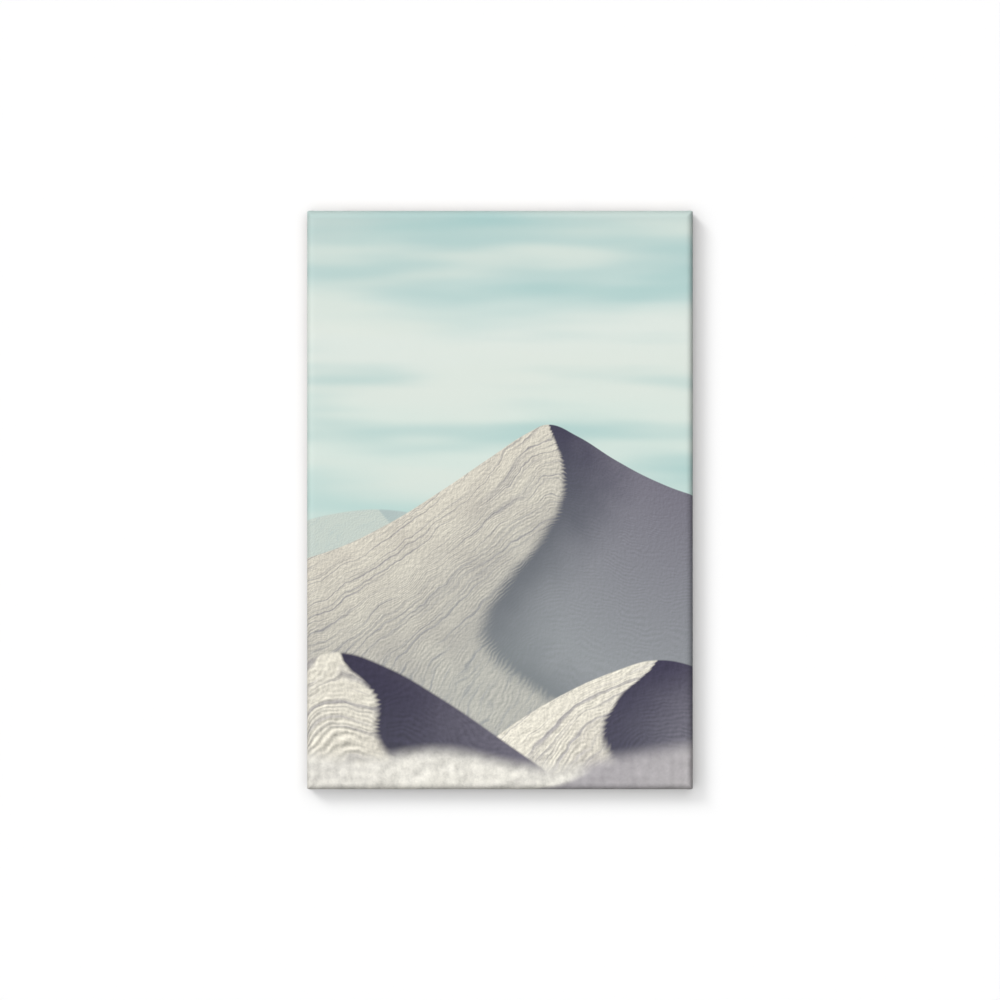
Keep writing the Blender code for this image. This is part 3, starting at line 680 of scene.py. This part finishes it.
random = np.random.default_rng(11)
share = random.uniform(-THREADED_SHARE, THREADED_SHARE, THREAD_COUNT)
thread_side = random.integers(0, 4, THREAD_COUNT)
length = random.uniform(*THREAD_LENGTHS, THREAD_COUNT)
lean = random.normal(0, THREAD_LEAN, THREAD_COUNT)
curl = random.normal(0, THREAD_CURL, THREAD_COUNT)
run = np.linspace(0, 1, 8)
inward = length[:, None] * run
sideways = inward * lean[:, None] + curl[:, None] * inward ** 2
upright_side = (thread_side % 2 == 1)[:, None]
sign = np.where(thread_side < 2, 1.0, -1.0)[:, None]
span = np.where(upright_side, half_width, half_height) - FLAP_WIDTH
outward = np.where(upright_side, half_height, half_width) - FLAP_WIDTH + THREAD_ROOT - inward
lengthwise = share[:, None] * span + sideways
thread_x = np.where(upright_side, lengthwise, sign * outward)
thread_z = np.where(upright_side, sign * outward, lengthwise)
thread_y = back_y - CANVAS_THICKNESS / 2 + THREAD_LIFT
thread_y = thread_y + THREAD_WAVE * np.sin(run * 5 + share[:, None] * 40)
paths = np.stack([thread_x, thread_y, thread_z + picture_middle.z], axis=-1)

cotton, tree, shader = new_material("loose cotton thread")
where = add_node(tree, "TexCoord", output="Object")
fuzz = add_node(tree, "TexNoise", {"Vector": where, "Scale": 900.0})
tone = add_node(tree, "Mix", {0: fuzz, 6: linear("#d8ccb0"), 7: linear("#f1ebdc")}, **OF_COLOURS)
fill_sockets(shader, {"Base Color": tone, "Roughness": 0.95})
thread_mesh = surface_mesh("loose_threads", *tubes(paths, THREAD_RADIUS))
loose_threads = add_piece("loose_threads", thread_mesh, [cotton])


# Stretcher bars
# Four bars of knotty pine, planed on all faces, their inner edges rounded. They are mitred and
# slotted at the ends, and held together by the tight canvas and the wedges.

PITH_BEND = 0.026
KNOT_PUSH = 0.012
RING_SPACING = 0.0026
RING_COLOURS = ((0.0, "#e8cc9c"), (0.45, "#e3c28e"), (0.80, "#d3a469"), (0.93, "#c08a4e"),
                (1.0, "#e6c998"))
# For each bar, the axis that its grain runs along, and how far it lies from the pith
BARS = {
    "top_bar": ("X", (0.050, 0.022, 0.00)),
    "bottom_bar": ("X", (0.034, -0.030, 0.37)),
    "left_bar": ("Z", (0.042, 0.026, 0.71)),
    "right_bar": ("Z", (0.030, -0.024, 1.13)),
}


def finished_copy(node, material, smooth_angle, bevel=0.0):
    """A copy of a CAD node with its points merged, smooth where it is round, and eased edges."""
    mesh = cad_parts[node].data.copy()
    mesh.transform(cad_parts[node].matrix_world)
    mesh.materials.clear()
    merged = bmesh.new()
    merged.from_mesh(mesh)
    bmesh.ops.remove_doubles(merged, verts=merged.verts, dist=0.000001)
    if bevel:
        bmesh.ops.dissolve_limit(merged, angle_limit=0.01, verts=merged.verts, edges=merged.edges)
    merged.to_mesh(mesh)
    merged.free()
    piece = add_piece(f"{node}_finish", mesh, [material], smooth_angle)
    if bevel:
        eased = piece.modifiers.new("eased edges", "BEVEL")
        eased.width = bevel
        eased.segments = 2
        eased.limit_method = "ANGLE"
        eased.angle_limit = np.radians(smooth_angle)
        eased.harden_normals = True
    flat_faces = piece.modifiers.new("flat faces stay flat", "WEIGHTED_NORMAL")
    flat_faces.keep_sharp = True
    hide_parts(node)
    return piece


def place_in_tree(tree, grain_axis):
    """The place on a wooden piece, turned so that its grain runs along Z."""
    where = add_node(tree, "TexCoord", output="Object")
    turn = (0, np.pi / 2 if grain_axis == "X" else 0, 0)
    return add_node(tree, "Mapping", {"Vector": where, "Rotation": turn})


def pine(name, grain_axis, pith):
    """Planed pine. Its rings are circles round a bent line, the pith, which lies beside the bar.

    The bar shows where its faces cut them: a pale early band that darkens to a thin late one.
    """
    material, tree, shader = new_material(name)
    in_tree = place_in_tree(tree, grain_axis)
    from_pith = add_node(tree, "VectorMath", {0: in_tree, 1: pith})
    growth = stretched_noise(tree, from_pith, (14, 14, 3.2), 3.0, output="Color")
    across = add_node(tree, "VectorMath", {0: from_pith, 1: (1, 1, 0)}, operation="MULTIPLY")
    crooked = add_node(tree, "VectorMath", {0: growth, 1: (PITH_BEND, PITH_BEND, 0), 2: across},
                       operation="MULTIPLY_ADD")
    radius = add_node(tree, "VectorMath", {0: crooked}, output="Value", operation="LENGTH")

    # Knots: rare ovals that push the rings aside
    knot_place = add_node(tree, "VectorMath", {0: from_pith, 1: (16, 16, 6.5)},
                          operation="MULTIPLY")
    knot = add_node(tree, "TexVoronoi", {"Vector": knot_place, "Scale": 1.0}, output="Distance")
    pushed = add_node(tree, "MapRange",
                      {"Value": knot, "From Min": 0.42, "From Max": 0.06, "To Max": KNOT_PUSH},
                      interpolation_type="SMOOTHSTEP")
    ring_radius = add_node(tree, "Math", {0: radius, 1: pushed})
    ring_count = add_node(tree, "Math", {0: ring_radius, 1: 1 / RING_SPACING}, operation="MULTIPLY")
    season = add_node(tree, "Math", {0: ring_count}, operation="FRACT")
    wood = add_node(tree, "ValToRGB", {0: season})
    fill_ramp(wood, RING_COLOURS)
    in_knot = add_node(tree, "MapRange", {"Value": knot, "From Min": 0.16, "From Max": 0.09})
    wood = add_node(tree, "Mix", {0: in_knot, 6: wood, 7: linear("#8a5730")}, **OF_COLOURS)

    # Fibres run along the grain, and planing leaves them slightly raised
    fibre = stretched_noise(tree, from_pith, (1100, 1100, 22), 3.0)
    tone = add_node(tree, "MapRange",
                    {"Value": fibre, "From Min": 0.3, "From Max": 0.7,
                     "To Min": 0.90, "To Max": 1.06})
    wood = add_node(tree, "VectorMath", {0: wood, "Scale": tone}, operation="SCALE")
    height = add_node(tree, "Math", {0: season, 1: 0.5, 2: fibre}, operation="MULTIPLY_ADD")
    relief = add_node(tree, "Bump", {"Strength": 0.35, "Distance": 0.0002, "Height": height})
    sheen = add_node(tree, "MapRange", {"Value": fibre, "To Min": 0.52, "To Max": 0.72})
    fill_sockets(shader, {"Base Color": wood, "Normal": relief, "Roughness": sheen})
    return material


for node, (grain_axis, pith) in BARS.items():
    material = pine(f"planed pine of the {node}", grain_axis, pith)
    bar = finished_copy(node, material, smooth_angle=30)


# Corner wedges
# Eight small wedges of steamed beech, sawn and left rough, pushed into the slots to spread the
# frame. They show the fine short flecks that beech has.

WEDGES = [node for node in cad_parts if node.startswith("wedge_")]

for grain_axis in ("X", "Z"):
    beech, tree, shader = new_material(f"sawn beech with its grain along {grain_axis}")
    in_tree = place_in_tree(tree, grain_axis)
    broad = stretched_noise(tree, in_tree, (220, 220, 18), 3.0)
    wood = add_node(tree, "Mix", {0: broad, 6: linear("#b98558"), 7: linear("#dcb083")},
                    **OF_COLOURS)
    fleck = stretched_noise(tree, in_tree, (1500, 1500, 330), 1.0)
    dark = add_node(tree, "MapRange",
                    {"Value": fleck, "From Min": 0.58, "From Max": 0.68, "To Max": 0.6})
    wood = add_node(tree, "Mix", {0: dark, 6: wood, 7: linear("#7c4f30")}, **OF_COLOURS)
    saw = stretched_noise(tree, in_tree, (60, 60, 900))
    relief = add_node(tree, "Bump", {"Strength": 0.5, "Distance": 0.0002, "Height": saw})
    fill_sockets(shader, {"Base Color": wood, "Normal": relief, "Roughness": 0.7})
    for node in WEDGES:
        low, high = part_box(node)
        lies_along = "X" if high.x - low.x > high.z - low.z else "Z"
        if lies_along == grain_axis:
            wedge = finished_copy(node, beech, smooth_angle=25)


# Staples
# Flat galvanised wire, 1 mm wide, shot through the flap into the bars. The zinc is dull, with
# small brighter spangles.

STAPLE_EASING = 0.00012
STAPLES = [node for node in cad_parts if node.startswith("staple_")]

galvanised, tree, shader = new_material("galvanised flat steel wire")
where = add_node(tree, "TexCoord", output="Object")
spangle = add_node(tree, "TexNoise", {"Vector": where, "Scale": 1200.0, "Detail": 3.0})
zinc = add_node(tree, "Mix", {0: spangle, 6: linear("#9a9c9d"), 7: linear("#d0d1cf")}, **OF_COLOURS)
dullness = add_node(tree, "MapRange", {"Value": spangle, "To Min": 0.28, "To Max": 0.6})
fill_sockets(shader, {"Base Color": zinc, "Roughness": dullness, "Metallic": 1.0})

for node in STAPLES:
    staple = finished_copy(node, galvanised, smooth_angle=35, bevel=STAPLE_EASING)


# Sawtooth hanger and its nails
# A stamped strip of rolled steel with a row of notches. Its zinc plating is bright, clouded and
# slightly yellow. Two nails with domed heads hold it to the top bar.

HANGER_EASING = 0.00015
NAIL_SHANK_RADIUS = 0.00075
NAIL_HEAD_HEIGHT = 0.0008
NAIL_POINT_LENGTH = 0.0018
NAIL_STEPS = 40

plated, tree, shader = new_material("zinc-plated mild steel")
where = add_node(tree, "TexCoord", output="Object")
clouding = add_node(tree, "TexNoise", {"Vector": where, "Scale": 160.0, "Detail": 4.0})
zinc = add_node(tree, "Mix", {0: clouding, 6: linear("#b9b3a0"), 7: linear("#d9d8d2")},
                **OF_COLOURS)
rolled = stretched_noise(tree, where, (60, 1500, 2500))
dullness = add_node(tree, "MapRange", {"Value": rolled, "To Min": 0.2, "To Max": 0.5})
relief = add_node(tree, "Bump", {"Strength": 0.15, "Distance": 0.0001, "Height": rolled})
fill_sockets(shader, {"Base Color": zinc, "Roughness": dullness, "Normal": relief, "Metallic": 1.0})

hanger = finished_copy("sawtooth_hanger", plated, smooth_angle=35, bevel=HANGER_EASING)


def turned_surface(profile, centre_x, centre_z, steps):
    """A closed turned shape about a line along Y: each (radius, y) of the profile goes round."""
    radius, y = np.array(profile).T[:, :, None]
    angle = np.linspace(0, 2 * np.pi, steps, endpoint=False)
    x, z = centre_x + radius * np.cos(angle), centre_z + radius * np.sin(angle)
    turned = np.stack([x, y + np.zeros_like(x), z], axis=-1)
    number = np.arange(x.size).reshape(x.shape)
    after = np.roll(number, -1, axis=1)
    quads = np.stack([number[:-1], number[1:], after[1:], after[:-1]], axis=-1)
    return turned.reshape(-1, 3), quads.reshape(-1, 4)


for node in ("hanger_nail_left", "hanger_nail_right"):
    low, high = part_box(node)
    # A point, a shank, and a head whose rim is straight for 0.3 of its height, with a dome above
    head_radius = (high.x - low.x) / 2
    head_y = high.y - NAIL_HEAD_HEIGHT
    profile = [(0, low.y), (NAIL_SHANK_RADIUS, low.y + NAIL_POINT_LENGTH),
               (NAIL_SHANK_RADIUS, head_y), (head_radius * 0.96, head_y)]
    profile += [(head_radius * np.cos(dome), head_y + NAIL_HEAD_HEIGHT * (0.3 + 0.7 * np.sin(dome)))
                for dome in np.linspace(0, np.pi / 2, 9)]
    points, quads = turned_surface(profile, (low.x + high.x) / 2, (low.z + high.z) / 2, NAIL_STEPS)
    nail = add_piece(f"{node}_finish", surface_mesh(node, points, quads), [plated], smooth_angle=40)
    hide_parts(node)


# Felt pads
# Two discs of pressed grey wool felt, punched out and glued to the lower flap. Their rims are a
# little ragged and their faces are uneven with matted fibres.

FELT_RELIEF = 0.00015
PAD_RIM_RADIUS = 0.0005
PAD_STEPS = 72
# Three waves that cross each other over the felt, in radians a metre along each axis
FELT_WAVES = np.array([(2900, 1700, 1300), (-1500, 2100, 3100), (4100, -900, 2300)])

felt, tree, shader = new_material("pressed grey wool felt")
where = add_node(tree, "TexCoord", output="Object")
mottled = add_node(tree, "TexNoise", {"Vector": where, "Scale": 260.0, "Detail": 2.0})
fibres = add_node(tree, "TexNoise",
                  {"Vector": where, "Scale": 2600.0, "Detail": 4.0, "Roughness": 0.7,
                   "Distortion": 0.6})
matted = add_node(tree, "Math", {0: mottled, 1: 0.5, 2: fibres}, operation="MULTIPLY_ADD")
wool_share = add_node(tree, "MapRange", {"Value": matted, "From Min": 0.45, "From Max": 1.05})
wool = add_node(tree, "Mix", {0: wool_share, 6: linear("#4b4a46"), 7: linear("#a6a49e")},
                **OF_COLOURS)
relief = add_node(tree, "Bump", {"Strength": 0.9, "Distance": 0.0002, "Height": matted})
fill_sockets(shader, {"Base Color": wool, "Normal": relief, "Roughness": 1.0, "Sheen Weight": 0.4})

for node in ("felt_pad_left", "felt_pad_right"):
    low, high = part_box(node)
    radius = (high.x - low.x) / 2
    rim_y = high.y - PAD_RIM_RADIUS
    profile = [(0, low.y), (radius * 0.5, low.y), (radius, low.y)]
    profile += [(radius, y) for y in np.linspace(low.y, rim_y, 7)[1:]]
    profile += [(radius - PAD_RIM_RADIUS * (1 - np.cos(rim)), rim_y + PAD_RIM_RADIUS * np.sin(rim))
                for rim in np.linspace(0, np.pi / 2, 4)[1:]]
    profile += [(radius * part, high.y) for part in (0.8, 0.7, 0.6, 0.5, 0.4, 0.3, 0.2, 0.1, 0)]
    points, quads = turned_surface(profile, (low.x + high.x) / 2, (low.z + high.z) / 2, PAD_STEPS)
    # The waves push the matted surface in, towards the pad's middle
    push = np.sin(points @ FELT_WAVES.T).sum(axis=1)
    inwards = np.array((low + high) / 2) - points
    inwards /= np.linalg.norm(inwards, axis=1, keepdims=True)
    points = points + FELT_RELIEF * (push / 6 + 0.5)[:, None] * inwards
    pad = add_piece(f"{node}_finish", surface_mesh(node, points, quads), [felt], smooth_angle=60)
    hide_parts(node)


# Wall and floor
# A plain white wall right behind the picture, and a pale floor far below the view. From behind
# the wall is see-through, so the picture's back can be looked at.

WALL_SIZE = 8.0
FLOOR_SIZE = 80.0
FLOOR_BELOW = 1.5

wall_paint, tree, shader = new_material("white wall paint")
fill_sockets(shader, {"Base Color": linear("#f4f4f4"), "Roughness": 0.9, "Specular IOR Level": 0.0})
seen_from_behind = add_node(tree, "NewGeometry", output="Backfacing")
clear = add_node(tree, "BsdfTransparent")
both_sides = add_node(tree, "MixShader", {0: seen_from_behind, 1: shader.outputs[0], 2: clear})
fill_sockets(tree.nodes["Material Output"], {"Surface": both_sides})

floor_paint, _, shader = new_material("pale floor")
fill_sockets(shader, {"Base Color": linear("#e4e2de"), "Roughness": 0.8})

for name, material, size, corners in (
    ("wall", wall_paint, WALL_SIZE, [(-1, 0, -1), (1, 0, -1), (1, 0, 1), (-1, 0, 1)]),
    ("floor", floor_paint, FLOOR_SIZE, [(-1, -1, 0), (1, -1, 0), (1, 1, 0), (-1, 1, 0)]),
):
    middle = np.array([0, 0, 0 if name == "wall" else picture_middle.z - FLOOR_BELOW])
    mesh = bpy.data.meshes.new(name)
    corner_points = np.array(corners) * size / 2 + middle
    mesh.from_pydata(corner_points.tolist(), [], [(0, 1, 2, 3)])
    mesh.materials.append(material)
    plane = bpy.data.objects.new(name, mesh)
    bpy.context.scene.collection.objects.link(plane)
    plane.visible_diffuse = False
    plane.visible_shadow = False


# Lights
# In front, one light as wide as a window wall and a narrower one from the upper left. Two more
# stand behind and only reach the picture's back, through the wall, which casts no shadow.

DOME_STRENGTH = 0.012
BACKDROP_STRENGTH = 0.86

world = bpy.data.worlds.new("studio")
bpy.context.scene.world = world
world.use_nodes = True
tree = world.node_tree
dome = tree.nodes["Background"]
fill_sockets(dome, {"Color": (1, 1, 1, 1), "Strength": DOME_STRENGTH})
backdrop = add_node(tree, "Background", {"Color": (1, 1, 1, 1), "Strength": BACKDROP_STRENGTH})
seen = add_node(tree, "LightPath", output="Is Camera Ray")
studio = add_node(tree, "MixShader", {0: seen, 1: dome.outputs[0], 2: backdrop})
fill_sockets(tree.nodes["World Output"], {"Surface": studio})

for name, towards_light, strength, width_degrees in (
    ("window light", (-0.15, -1, 0.15), 2.92, 100),
    ("key light", (-1, -1, 1), 1.03, 20),
    ("back key light", (-0.5, 0.8, 0.5), 2.0, 50),
    ("back fill light", (0.15, 0.97, -0.1), 1.2, 40),
):
    light = bpy.data.lights.new(name, "SUN")
    light.energy = strength
    light.angle = np.radians(width_degrees)
    lamp = bpy.data.objects.new(name, light)
    lamp.rotation_euler = Vector(towards_light).to_track_quat("Z", "Y").to_euler()
    bpy.context.scene.collection.objects.link(lamp)

# Colours come out as the materials and lights give them
bpy.context.scene.view_settings.view_transform = "Standard"
